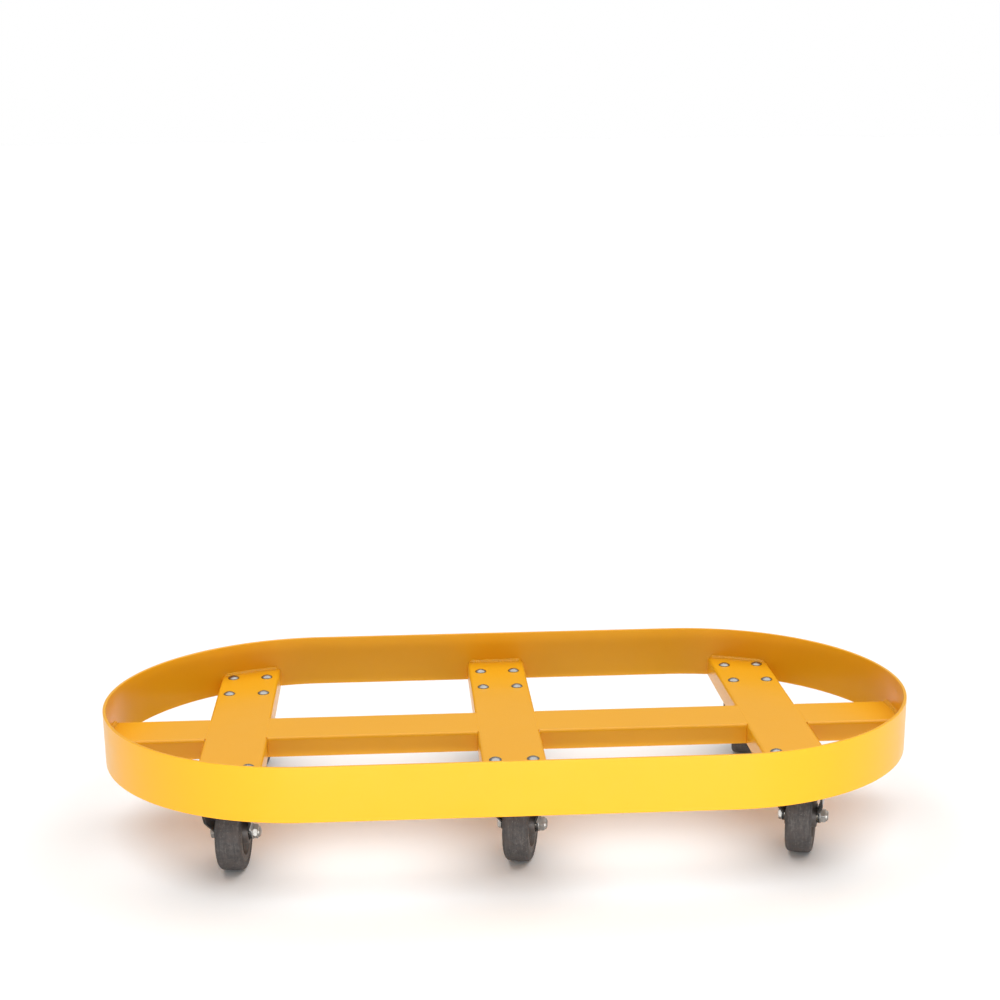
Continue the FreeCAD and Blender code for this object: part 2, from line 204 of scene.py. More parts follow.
def wheel_frame(name):
    """Origin at the wheel's centre, X along the axle towards the nut, Z up."""
    joint = JOINTS["wheel_roll_" + name]
    along = Vector(joint["axis"]).normalized()
    back = Vector((0.0, 0.0, 1.0)).cross(along)
    turn = Matrix((along, back, Vector((0.0, 0.0, 1.0)))).transposed().to_4x4()
    return Matrix.Translation(joint["pos_m"]) @ turn


def swivel_place(name):
    x, y, _ = JOINTS["swivel_turn_" + name]["pos_m"]
    return x / MM, y / MM


def circle(x, radius, steps, start=0.0):
    """A ring about X, or a pole where the radius is nothing."""
    if radius < 1e-6:
        return [(x, 0.0, 0.0)]
    ring = []
    for k in range(steps):
        a = start + 2 * math.pi * k / steps
        ring.append((x, radius * math.cos(a), radius * math.sin(a)))
    return ring


def turned(made, profile, steps, loop=False, slot=0, start=0.0):
    add_rings(made, [circle(x, r, steps, start) for x, r in profile], loop=loop, slot=slot)


def arc_points(cx, cr, radius, a0, a1, count):
    points = []
    for k in range(count + 1):
        a = math.radians(a0 + (a1 - a0) * k / count)
        points.append((cx + radius * math.cos(a), cr + radius * math.sin(a)))
    return points


def hex_radius(a, flats, clock):
    """Distance from the axis to a hexagon with slightly rounded corners."""
    part = (a - clock) % (math.pi / 3) - math.pi / 6
    return min(flats / 2 / math.cos(part), flats / math.sqrt(3) * 0.985)


def hexagon(made, x0, x1, flats, clock, both=False, bore=0.0, steps=96, slot=0):
    """A hexagon about X with the corners turned off at x1, and at x0 too for a nut."""
    sign = 1.0 if x1 > x0 else -1.0
    turned_off = flats / 2 * 0.96
    slope = math.tan(math.radians(30.0))
    rings = []

    def ring(place):
        points = []
        for k in range(steps):
            a = 2 * math.pi * k / steps
            x, r = place(hex_radius(a, flats, clock))
            points.append((x, r * math.cos(a), r * math.sin(a)))
        rings.append(points)

    def drop(r):
        return max(0.0, r - turned_off) * slope

    if both:
        rings.append(circle(x0, max(bore, 0.0), steps) if bore else circle(x0, 0.0, steps))
        ring(lambda r: (x0, turned_off - 0.15))
        ring(lambda r: (x0 + sign * 0.05, turned_off))
        ring(lambda r: (x0 + sign * (0.05 + drop(r)), r))
    else:
        rings.append(circle(x0, 0.0, steps))
        ring(lambda r: (x0, r - 0.15))
        ring(lambda r: (x0 + sign * 0.15, r))
    ring(lambda r: (x1 - sign * (0.05 + drop(r)), r))
    ring(lambda r: (x1 - sign * 0.05, turned_off))
    ring(lambda r: (x1, turned_off - 0.15))
    if bore:
        rings.append(circle(x1, bore + 0.5, steps))
        rings.append(circle(x1 - sign * 0.5, bore, steps))
        add_rings(made, rings, loop=both, slot=slot)
    else:
        rings.append(circle(x1, 0.0, steps))
        add_rings(made, rings, slot=slot)


def thread(made, x0, x1, radius, pitch, steps=40, slot=0):
    """A threaded end from x0 out to x1, with a chamfered tip."""
    sign = 1.0 if x1 > x0 else -1.0
    length = abs(x1 - x0)
    depth = 0.55 * pitch
    count = max(4, int(length / (pitch / 6)))
    rings = [circle(x0, 0.0, steps)]
    for j in range(count + 1):
        far = length * j / count
        ring = []
        for k in range(steps):
            a = 2 * math.pi * k / steps
            phase = (far / pitch - a / (2 * math.pi)) % 1.0
            tooth = abs(2 * phase - 1)
            r = radius - depth * min(1.0, max(0.0, 1.25 * tooth - 0.12))
            r = min(r, radius - depth * 1.1 + (length - far) * 1.1)
            ring.append((x0 + sign * far, r * math.cos(a), r * math.sin(a)))
        rings.append(ring)
    rings.append(circle(x1, 0.0, steps))
    add_rings(made, rings, slot=slot)


def onto_z(made, start):
    """Turns what was built about X from a point number on, so that +X becomes +Z."""
    points = made["points"]
    for k in range(start, len(points)):
        x, y, z = points[k]
        points[k] = (y, z, x)


def moved(made, start, x, y, z):
    points = made["points"]
    for k in range(start, len(points)):
        a, b, c = points[k]
        points[k] = (a + x, b + y, c + z)


# ------------------------------------------------------------------------- materials
def new_material(name):
    material = bpy.data.materials.new(name)
    material.use_nodes = True
    nodes = material.node_tree.nodes
    return material, nodes, material.node_tree.links, nodes["Principled BSDF"]


def node(nodes, kind, **values):
    made = nodes.new(kind)
    for key, value in values.items():
        setattr(made, key, value)
    return made


def noise(nodes, links, vector, scale, detail=3.0, rough=0.55, distortion=0.0):
    made = nodes.new("ShaderNodeTexNoise")
    made.inputs["Scale"].default_value = scale
    made.inputs["Detail"].default_value = detail
    made.inputs["Roughness"].default_value = rough
    made.inputs["Distortion"].default_value = distortion
    links.new(vector, made.inputs["Vector"])
    return made.outputs["Fac"]


def stretched(nodes, links, vector, scale, turn=(0.0, 0.0, 0.0)):
    made = nodes.new("ShaderNodeMapping")
    made.inputs["Scale"].default_value = scale
    made.inputs["Rotation"].default_value = turn
    links.new(vector, made.inputs["Vector"])
    return made.outputs["Vector"]


def ramp(nodes, links, value, stops):
    """A colour ramp: stops are (place, colour), the colour a number or a triple."""
    made = nodes.new("ShaderNodeValToRGB")
    elements = made.color_ramp.elements
    while len(elements) < len(stops):
        elements.new(0.5)
    for element, (place, colour) in zip(elements, stops):
        if not isinstance(colour, tuple):
            colour = (colour, colour, colour)
        element.position = place
        element.color = (*colour, 1.0)
    links.new(value, made.inputs["Fac"])
    return made.outputs["Color"]


def maths(nodes, links, operation, a, b):
    made = node(nodes, "ShaderNodeMath", operation=operation)
    for place, value in ((0, a), (1, b)):
        if isinstance(value, (int, float)):
            made.inputs[place].default_value = value
        else:
            links.new(value, made.inputs[place])
    return made.outputs[0]


def mixed(nodes, links, share, a, b):
    made = node(nodes, "ShaderNodeMix", data_type="RGBA")
    for socket, value in ((made.inputs[0], share), (made.inputs[6], a), (made.inputs[7], b)):
        if isinstance(value, tuple):
            socket.default_value = (*value, 1.0)
        elif isinstance(value, (int, float)):
            socket.default_value = value
        else:
            links.new(value, socket)
    return made.outputs[2]


def bump(nodes, links, height, distance, strength=1.0, normal=None):
    made = nodes.new("ShaderNodeBump")
    made.inputs["Strength"].default_value = strength
    made.inputs["Distance"].default_value = distance
    links.new(height, made.inputs["Height"])
    if normal is not None:
        links.new(normal, made.inputs["Normal"])
    return made.outputs["Normal"]


def edge_mask(nodes, links, radius, sharp=0.02):
    """1 where a rounded edge would turn away from the surface, 0 on the flats."""
    soft = nodes.new("ShaderNodeBevel")
    soft.samples = 4
    soft.inputs["Radius"].default_value = radius
    plain = nodes.new("ShaderNodeNewGeometry")
    dot = node(nodes, "ShaderNodeVectorMath", operation="DOT_PRODUCT")
    links.new(soft.outputs["Normal"], dot.inputs[0])
    links.new(plain.outputs["Normal"], dot.inputs[1])
    away = maths(nodes, links, "SUBTRACT", 1.0, dot.outputs["Value"])
    return ramp(nodes, links, away, [(sharp, 0.0), (sharp * 6, 1.0)])


def object_space(nodes):
    return nodes.new("ShaderNodeTexCoord").outputs["Object"]


def local_space(nodes):
    return node(nodes, "ShaderNodeAttribute", attribute_name="local").outputs["Vector"]


def enamel(name):
    """Smooth glossy yellow enamel: a faint orange peel, soft rubs, a few chipped edges, paler edge
    crests as a painted highlight.
    """
    material, nodes, links, shader = new_material(name)
    place = object_space(nodes)
    cloud = noise(nodes, links, place, 3.5, 2.0)
    colour = ramp(nodes, links, cloud, [(0.30, (0.868, 0.405, 0.0075)), (0.70, (0.890, 0.420, 0.0090))])
    drawn = stretched(nodes, links, place, (9.0, 9.0, 16.0), (0.05, 0.03, 0.4))
    rub = noise(nodes, links, drawn, 5.0, 4.0, 0.55)
    rubbed = ramp(nodes, links, rub, [(0.64, 0.0), (0.76, 0.5)])
    rub_share = maths(nodes, links, "MULTIPLY", rubbed, 0.22)
    colour = mixed(nodes, links, rub_share, colour, (0.80, 0.42, 0.03))
    split = nodes.new("ShaderNodeSeparateXYZ")
    links.new(place, split.inputs[0])
    off_joint = maths(nodes, links, "ABSOLUTE", split.outputs["X"], 0.0)
    off_joint = ramp(nodes, links, off_joint, [(2.5 * MM, 0.0), (4.0 * MM, 1.0)])
    edge = maths(nodes, links, "MULTIPLY", edge_mask(nodes, links, 1.1 * MM, 0.06), off_joint)
    nick = noise(nodes, links, place, 160.0, 4.0, 0.6)
    rare = noise(nodes, links, place, 24.0, 2.0)
    both = maths(nodes, links, "MULTIPLY", nick, rare)
    nicked = ramp(nodes, links, both, [(0.360, 0.0), (0.375, 1.0)])
    chip = maths(nodes, links, "MULTIPLY", edge, nicked)
    colour = mixed(nodes, links, chip, colour, (0.085, 0.050, 0.028))
    # a painted highlight: the crests of the edges are paler, partly for thin paint there and mostly for
    # the light line along the rounded edges
    crest_highlight = maths(nodes, links, "MULTIPLY", edge, 0.50)
    colour = mixed(nodes, links, crest_highlight, colour, (0.93, 0.62, 0.16))
    links.new(colour, shader.inputs["Base Color"])
    # a roughness of 0.25 to 0.31 gave dark flecks on the deck, so the range here is 0.29 to 0.34
    gloss = ramp(nodes, links, noise(nodes, links, place, 22.0, 3.0), [(0.3, 0.290), (0.7, 0.340)])
    gloss = mixed(nodes, links, rubbed, gloss, (0.38, 0.38, 0.38))
    gloss = mixed(nodes, links, chip, gloss, (0.7, 0.7, 0.7))
    links.new(gloss, shader.inputs["Roughness"])
    peel = noise(nodes, links, place, 260.0, 1.0, 0.4)
    normal = bump(nodes, links, peel, 0.03 * MM, 0.25)
    normal = bump(nodes, links, maths(nodes, links, "SUBTRACT", 1.0, chip), 0.15 * MM, 0.6, normal)
    links.new(normal, shader.inputs["Normal"])
    shader.inputs["IOR"].default_value = 1.46
    shader.inputs["Specular IOR Level"].default_value = 0.40
    shader.inputs["Coat Weight"].default_value = 0.05
    shader.inputs["Coat Roughness"].default_value = 0.10
    return material


def zinc(name, space, tone, rough, streak=(1.0, 1.0, 1.0), rubbed=0.35, wear=0.6 * MM):
    """Bright zinc plate: cloudy lustre, fine scratches, dull spots, rubbed edges."""
    material, nodes, links, shader = new_material(name)
    place = space(nodes)
    cloud = noise(nodes, links, place, 90.0, 5.0, 0.6)
    low = tuple(0.78 * c for c in tone)
    colour = ramp(nodes, links, cloud, [(0.32, low), (0.66, tone)])
    blot = noise(nodes, links, place, 34.0, 3.0)
    dull = tuple(c * k for c, k in zip(tone, (0.66, 0.60, 0.50)))
    colour = mixed(nodes, links, ramp(nodes, links, blot, [(0.58, 0.0), (0.76, 0.45)]), colour, dull)
    edge = edge_mask(nodes, links, wear)
    worn = tuple(min(0.88, 1.25 * c) for c in tone)
    colour = mixed(nodes, links, maths(nodes, links, "MULTIPLY", edge, rubbed), colour, worn)
    links.new(colour, shader.inputs["Base Color"])
    shader.inputs["Metallic"].default_value = 1.0
    scratch = noise(nodes, links, stretched(nodes, links, place, streak), 260.0, 4.0, 0.7)
    gloss = ramp(nodes, links, scratch, [(0.3, rough - 0.08), (0.7, rough + 0.10)])
    links.new(gloss, shader.inputs["Roughness"])
    normal = bump(nodes, links, scratch, 0.02 * MM, 0.5)
    normal = bump(nodes, links, cloud, 0.05 * MM, 0.4, normal)
    links.new(normal, shader.inputs["Normal"])
    return material


def rubber(name):
    """Dark grey rubber: grey-brown dust in mottles, streaked round the tread, a few pale flecks."""
    material, nodes, links, shader = new_material(name)
    place = local_space(nodes)
    mottle = noise(nodes, links, place, 210.0, 6.0, 0.68)
    streak = noise(nodes, links, stretched(nodes, links, place, (1.0, 0.10, 0.10)), 420.0, 5.0, 0.65)
    patch = noise(nodes, links, place, 52.0, 3.0)
    both = maths(nodes, links, "MULTIPLY", mottle, 0.52)
    both = maths(nodes, links, "ADD", both, maths(nodes, links, "MULTIPLY", streak, 0.48))
    colour = ramp(nodes, links, both, [(0.38, RUBBER_DARK), (0.50, RUBBER_MID), (0.62, RUBBER_PALE)])
    dusty = ramp(nodes, links, patch, [(0.46, 0.0), (0.68, 0.6)])
    colour = mixed(nodes, links, dusty, colour, RUBBER_DUST)
    fleck = noise(nodes, links, stretched(nodes, links, place, (1.0, 0.5, 0.5)), 640.0, 2.0, 0.5)
    flecked = ramp(nodes, links, fleck, [(0.66, 0.0), (0.72, 0.7)])
    colour = mixed(nodes, links, flecked, colour, RUBBER_FLECK)
    links.new(colour, shader.inputs["Base Color"])
    links.new(ramp(nodes, links, both, [(0.3, 0.56), (0.7, 0.82)]), shader.inputs["Roughness"])
    normal = bump(nodes, links, mottle, 0.22 * MM, 0.6)
    normal = bump(nodes, links, streak, 0.14 * MM, 0.6, normal)
    links.new(normal, shader.inputs["Normal"])
    return material


def moulding(name):
    """Black moulded wheel centre: fine spark texture, a little dust in it."""
    material, nodes, links, shader = new_material(name)
    place = local_space(nodes)
    grain = noise(nodes, links, place, 1400.0, 3.0, 0.6)
    patch = noise(nodes, links, place, 60.0, 4.0)
    colour = ramp(nodes, links, patch, [(0.35, (0.046, 0.036, 0.031)), (0.75, (0.078, 0.063, 0.055))])
    links.new(colour, shader.inputs["Base Color"])
    links.new(ramp(nodes, links, grain, [(0.3, 0.42), (0.7, 0.60)]), shader.inputs["Roughness"])
    links.new(bump(nodes, links, grain, 0.04 * MM, 0.6), shader.inputs["Normal"])
    return material


def nylon(name):
    material, nodes, links, shader = new_material(name)
    patch = noise(nodes, links, local_space(nodes), 300.0, 4.0)
    colour = ramp(nodes, links, patch, [(0.3, (0.44, 0.42, 0.36)), (0.7, (0.62, 0.60, 0.53))])
    links.new(colour, shader.inputs["Base Color"])
    links.new(ramp(nodes, links, patch, [(0.3, 0.38), (0.7, 0.52)]), shader.inputs["Roughness"])
    return material


def polished(name):
    """Hardened bearing steel with a thin film of grease."""
    material, nodes, links, shader = new_material(name)
    place = object_space(nodes)
    film = noise(nodes, links, place, 180.0, 4.0)
    colour = ramp(nodes, links, film, [(0.35, (0.56, 0.55, 0.53)), (0.72, (0.34, 0.29, 0.20))])
    links.new(colour, shader.inputs["Base Color"])
    links.new(ramp(nodes, links, film, [(0.35, 0.16), (0.7, 0.38)]), shader.inputs["Roughness"])
    shader.inputs["Metallic"].default_value = 1.0
    return material


def floor_paper(name):
    material, nodes, links, shader = new_material(name)
    grain = noise(nodes, links, object_space(nodes), 900.0, 2.0)
    links.new(ramp(nodes, links, grain, [(0.3, 0.965), (0.7, 0.985)]), shader.inputs["Base Color"])
    links.new(ramp(nodes, links, grain, [(0.3, 0.78), (0.7, 0.86)]), shader.inputs["Roughness"])
    shader.inputs["Specular IOR Level"].default_value = 0.2
    return material


# the scratches of the zinc: drawn out along one axis, or even
ALONG = (1.0, 1.0, 9.0)
EVEN = (1.0, 1.0, 1.0)
YELLOW = enamel("yellow_enamel_paint")
PRESSED_ZINC = zinc("bright_zinc_pressing", local_space, (0.54, 0.55, 0.57), 0.36)
# the forks' cut edges: cut steel, made near-black as a painted shade for the shadow they sit in under
# the band
CUT_EDGE_PAINTED_SHADE = zinc("sheared_edge_painted_shade", local_space, (0.085, 0.083, 0.080), 0.50, ALONG, 0.0)
PLATED = zinc("bright_zinc_fastener", local_space, (0.42, 0.410, 0.39), 0.47, EVEN, 0.45, 0.4 * MM)
# the deck's carriage bolt domes: zinc in a darker tone than the other fasteners, a painted shade
DOMES_PAINTED_SHADE = zinc("zinc_dome_painted_shade", local_space, (0.33, 0.325, 0.31), 0.30, EVEN, 0.2, 0.4 * MM)
BEARING = polished("greased_bearing_steel")
RUBBER = rubber("dusty_rubber")
MOULDED = moulding("moulded_wheel_centre")
NYLON = nylon("nylon_insert")


def dress(prefix, material):
    for name, cad in frame["nodes"].items():
        if name.startswith(prefix):
            for slot in cad.material_slots:
                slot.material = material


dress("rim_band", YELLOW)
dress("swivel_balls", BEARING)
dress("hub_sleeve", BEARING)
dress("roller_bearing", BEARING)


# ------------------------------------------------------------------------ the frame
def hand_over(piece, body, node_names):
    """The piece takes the place of CAD nodes and rides with their body."""
    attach(piece, body)
    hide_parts(*node_names)


def members():
    names = [name for name in frame["nodes"] if name.startswith(("cross_member", "spine"))]
    for name in names:
        piece = softened("channel_" + name, name, 0.45 * MM, Matrix.Identity(4), [YELLOW])
        hand_over(piece, "frame", [name])


def wall_point(x, y, inward):
    """A point near the band's inner face, level with (x, y), and moved inward from it."""
    centre = max(-END_X / MM, min(END_X / MM, x))
    out = Vector((x - centre, y, 0.0)).normalized()
    reach = INNER_RADIUS / MM - inward
    return centre + out.x * reach, out.y * reach


def weld_path(kind, side, count):
    """Stations along the joint of a member's end with the band: (x, y) on the wall."""
    half = MEMBER_HALF / MM - 4.2
    stations = []
    for k in range(count + 1):
        t = -half + 2 * half * k / count
        if kind == "spine":
            x = END_X / MM + math.sqrt((INNER_RADIUS / MM) ** 2 - t * t)
            stations.append((side * x, t))
        else:
            over = max(0.0, abs(kind + t) - END_X / MM)
            stations.append((kind + t, side * math.sqrt((INNER_RADIUS / MM) ** 2 - over * over)))
    return stations


def bead(made, stations, low, leg, rng):
    """A hand-laid fillet bead: ripples, a wandering leg, tapered ends."""
    spacing = rng.uniform(2.1, 2.5)
    phase = rng.uniform(0.0, 6.0)
    run = 0.0
    rings = []
    for k, (x, y) in enumerate(stations):
        if k:
            px, py = stations[k - 1]
            run += math.hypot(x - px, y - py)
        ends = min(k, len(stations) - 1 - k)
        taper = min(1.0, 0.45 + 0.55 * ends / 7.0)
        wander = 1.0 + 0.22 * waves.noise(Vector((run * 0.08, phase, 0.0)))
        wander += 0.12 * waves.noise(Vector((run * 0.35, phase, 4.0)))
        ring = []
        for j in range(9):
            a = math.pi / 2 * j / 8
            # each ripple is a shell that leans along the run
            lean = run + 0.9 * math.sin(2 * a) + 0.15 * waves.noise(Vector((run * 0.5, a, phase)))
            cycle = (lean / spacing) % 1.0
            ripple = (1.0 - cycle) ** 1.5 - 0.4
            swell = 0.80 + 0.20 * abs(math.cos(2 * a)) + ripple * 0.18 * math.sin(2 * a + 0.2)
            r = leg * taper * wander * (swell + 0.02)
            wx, wy = wall_point(x, y, max(-0.25, r * math.sin(a) - 0.05))
            ring.append((wx, wy, low + max(-0.25, r * math.cos(a) - 0.05)))
        wx, wy = wall_point(x, y, -0.3)
        ring.append((wx, wy, low - 0.3))
        rings.append(ring)
    add_rings(made, rings, caps=(True, True))


def weld_beads():
    rng = random.Random(17)
    made = blank()
    outer = OUTER_X / MM
    for kind in (-outer, 0.0, outer, "spine"):
        for side in (-1, 1):
            bead(made, weld_path(kind, side, 190), DECK_TOP / MM, WELD_LEG, rng)
    for x in (-outer, 0.0, outer):
        for side in (-1, 1):
            butt_bead(made, x + side * MEMBER_HALF / MM, side, rng)
    piece = build("hand_laid_welds", made, angle=50.0, materials=[YELLOW])
    hand_over(piece, "frame", ["weld_beads"])


def butt_bead(made, x, side, rng):
    """The bead in the groove between a cross member's bend and the spine."""
    phase = rng.uniform(0.0, 6.0)
    half = MEMBER_HALF / MM - 4.2
    count = 170
    rings = []
    top = DECK_TOP / MM
    for k in range(count + 1):
        y = -half + 2 * half * k / count
        taper = min(1.0, 0.4 + 0.6 * min(k, count - k) / 6.0)
        ring = []
        for j in range(9):
            t = -1.0 + 2.0 * j / 8
            cycle = ((y + 0.9 * (1 - t * t)) / 2.2 + phase) % 1.0
            crest_highlight = -0.75 + 0.55 * taper * (1 - t * t) + 0.16 * (1.0 - cycle) * (1 - t * t)
            across = (3.6 + 0.3 * waves.noise(Vector((y * 0.12, phase, x)))) * taper
            ring.append((x - side * 1.4 + t * across, y, top + crest_highlight - 0.35 * abs(t) ** 3))
        ring.append((x - side * 1.4, y, top - 3.0))
        rings.append(ring)
    add_rings(made, rings, caps=(True, True))


# --------------------------------------------------------------------- frame fasteners
def bolt_places():
    places = []
    for name in CASTERS:
        x, y = swivel_place(name)
        for dx in (-BOLT_X, BOLT_X):
            for dy in (-BOLT_Y, BOLT_Y):
                places.append((x + dx, y + dy))
    return places


def dome_profile():
    """Half of a carriage bolt's head and shank, as (height, radius)."""
    radius, height = DOME_RADIUS, DOME_HEIGHT
    rim = 0.85
    ball = (radius ** 2 + (height - rim) ** 2) / (2 * (height - rim))
    profile = [(-3.0, 0.0), (-3.0, CASTER_BOLT_RADIUS), (0.02, CASTER_BOLT_RADIUS)]
    profile += [(0.02, radius - 0.35), (0.10, radius - 0.12), (0.30, radius), (rim - 0.15, radius)]
    reach = math.asin(min(1.0, radius / ball))
    for k in range(13):
        a = reach * (1 - k / 12.0) * 0.985
        profile.append((height - ball + ball * math.cos(a), ball * math.sin(a)))
    return profile


def carriage_bolts():
    made = blank()
    for x, y in bolt_places():
        start = len(made["points"])
        turned(made, dome_profile(), 48)
        onto_z(made, start)
        moved(made, start, x, y, DECK_TOP / MM)
        start = len(made["points"])
        add_square_neck(made)
        moved(made, start, x, y, DECK_TOP / MM)
        start = len(made["points"])
        shank = [(-3.0, 0.0), (-3.0, CASTER_BOLT_RADIUS), (NUT_BOTTOM + 1.0, CASTER_BOLT_RADIUS)]
        turned(made, shank + [(NUT_BOTTOM + 1.0, 0.0)], 40)
        thread(made, NUT_BOTTOM + 1.0, BOLT_END, CASTER_BOLT_RADIUS, 1.41)
        onto_z(made, start)
        moved(made, start, x, y, DECK_TOP / MM)
    piece = build("carriage_bolts", made, angle=38.0, materials=[DOMES_PAINTED_SHADE])
    hand_over(piece, "frame", ["caster_bolts"])


def add_square_neck(made):
    rings = []
    for z, half in ((0.0, 4.15), (-3.2, 4.15), (-3.7, 3.8)):
        rings.append([(half, half, z), (-half, half, z), (-half, -half, z), (half, -half, z)])
    add_rings(made, rings, caps=(True, True))


def lock_washers():
    """Split spring washers, each with its ends a little apart."""
    rng = random.Random(5)
    made = blank()
    section = [(-0.85, 0.0), (-0.70, 0.15), (0.70, 0.15), (0.85, 0.0)]
    for x, y in bolt_places():
        start = len(made["points"])
        clock = rng.uniform(0.0, 6.28)
        gap = math.radians(9.0)
        rings = []
        for k in range(49):
            part = k / 48.0
            a = clock + gap / 2 + (2 * math.pi - gap) * part
            ring = []
            for z, inset in section:
                ring.append((z, 6.95 - inset))
            for z, inset in reversed(section):
                ring.append((z, CASTER_BOLT_RADIUS + 0.12 + inset))
            lift = 0.10 * (part - 0.5)
            rings.append([(r * math.cos(a), r * math.sin(a), z + lift) for z, r in ring])
        add_rings(made, rings, caps=(True, True))
        moved(made, start, x, y, PLATE_UNDER - 0.98)
    piece = build("split_lock_washers", made, angle=38.0, materials=[PLATED])
    hand_over(piece, "frame", ["caster_lock_washers"])


def caster_nuts():
    rng = random.Random(9)
    made = blank()
    for x, y in bolt_places():
        start = len(made["points"])
        clock = rng.uniform(0.0, 1.04)
        bore = CASTER_BOLT_RADIUS + 0.02
        hexagon(made, 0.0, CASTER_NUT, CASTER_HEX, clock, both=True, bore=bore, steps=72)
        onto_z(made, start)
        moved(made, start, x, y, DECK_TOP / MM + NUT_BOTTOM)
    piece = build("caster_hex_nuts", made, angle=26.0, materials=[PLATED])
    hand_over(piece, "frame", ["caster_nuts"])


def kingpins():
    rng = random.Random(3)
    pins = blank()
    nuts = blank()
    low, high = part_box("kingpins")[0].z / MM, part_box("kingpins")[1].z / MM
    nut_low, nut_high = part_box("kingpin_nuts")[0].z / MM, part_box("kingpin_nuts")[1].z / MM
    for name in CASTERS:
        x, y = swivel_place(name)
        start = len(pins["points"])
        head = [(high, 0.0), (high, 11.4), (high - 0.6, 12.0), (high - 4.1, 12.0), (high - 4.5, 11.6)]
        turned(pins, head + [(high - 4.5, 6.0), (nut_low + 1.0, 6.0), (nut_low + 1.0, 0.0)], 48)
        thread(pins, nut_low + 1.0, low, 6.0, 1.5)
        onto_z(pins, start)
        moved(pins, start, x, y, 0.0)
        start = len(nuts["points"])
        clock = rng.uniform(0.0, 1.04)
        hexagon(nuts, nut_high - 3.0, nut_low, 18.0, clock, both=True, bore=6.02, steps=96)
        flange = [(nut_high, 6.02), (nut_high, 14.6), (nut_high - 0.4, 15.0), (nut_high - 1.3, 15.0)]
        flange += [(nut_high - 1.8, 14.6), (nut_high - 3.0, 9.6), (nut_high - 3.0, 6.02)]
        turned(nuts, flange, 64, loop=True)
        onto_z(nuts, start)
        moved(nuts, start, x, y, 0.0)
    piece = build("kingpins_turned", pins, angle=38.0, materials=[PLATED])
    hand_over(piece, "frame", ["kingpins"])
    piece = build("kingpin_flange_nuts", nuts, angle=26.0, materials=[PLATED])
    hand_over(piece, "frame", ["kingpin_nuts"])


# ---------------------------------------------------------------------- the casters
def sheared(normal):
    """Material number of a fork's face: 1 on the cut edges of its plate, which take the near-black
    painted shade.
    """
    return 1 if abs(normal.x) < 0.30 and abs(normal.z) < 0.93 else 0


def pressings(name, seed):
    x, y = swivel_place(name)
    place = upright_frame(x, y, 0.0)
    plate = "top_plate_" + name
    piece = softened("caster_plate_" + name, plate, 0.5 * MM, place, [PRESSED_ZINC], None, seed)
    hand_over(piece, "frame", [plate])
    place = wheel_frame(name)
    fork = "fork_" + name
    zincs = [PRESSED_ZINC, CUT_EDGE_PAINTED_SHADE]
    piece = softened("pressed_fork_" + name, fork, 0.4 * MM, place, zincs, sheared, seed)
    hand_over(piece, "swivel_" + name, [fork])


def axle_bolt(name, clock, seed):
    """Hexagon bolt, washer and lock nut, along the axle."""
    made = blank()
    face = FORK_OUTSIDE
    washer = AXLE_WASHER
    hexagon(made, -face - 0.35, -face - AXLE_HEAD, AXLE_HEX, clock)
    turned(made, [(-face, 0.0), (-face, 8.6), (-face - 0.35, 8.9), (-face - 0.40, 0.0)], 48)
    plain = face + AXLE_PLAIN
    turned(made, [(-face, 0.0), (-face, AXLE_RADIUS), (plain, AXLE_RADIUS), (plain, 0.0)], 48)
    thread(made, plain, face + AXLE_END, AXLE_RADIUS, AXLE_PITCH)
    rim = AXLE_WASHER_RADIUS
    ring = [(face, AXLE_RADIUS + 0.3), (face, rim - 0.25), (face + 0.3, rim)]
    ring += [(face + washer - 0.5, rim), (face + washer, rim - 0.45)]
    ring += [(face + washer, AXLE_RADIUS + 0.3)]
    turned(made, ring, 64, loop=True)
    nut = face + washer
    hexagon(made, nut, nut + AXLE_NUT, AXLE_HEX, clock + 0.35, both=True, bore=AXLE_RADIUS + 0.02)
    top = nut + AXLE_NUT
    collar = [(top - 0.6, AXLE_RADIUS + 0.02), (top - 0.6, 8.2), (top + 1.3, 8.2), (top + 2.0, 8.0)]
    collar += [(top + 2.35, 7.6), (top + 2.4, 7.1), (top + 2.2, 6.85), (top + 1.6, 6.8)]
    collar += [(top + 1.6, AXLE_RADIUS + 0.02)]
    turned(made, collar, 64, loop=True)
    insert = [(top + 0.2, AXLE_RADIUS + 0.05), (top + 0.2, 7.0), (top + 1.9, 7.0), (top + 1.75, 6.6)]
    turned(made, insert + [(top + 1.5, AXLE_RADIUS + 0.05)], 64, loop=True, slot=1)
    piece = build("axle_fixing_" + name, made, wheel_frame(name), 26.0, [PLATED, NYLON], seed)
    hand_over(piece, "swivel_" + name, ["axle_bolt_set_" + name])


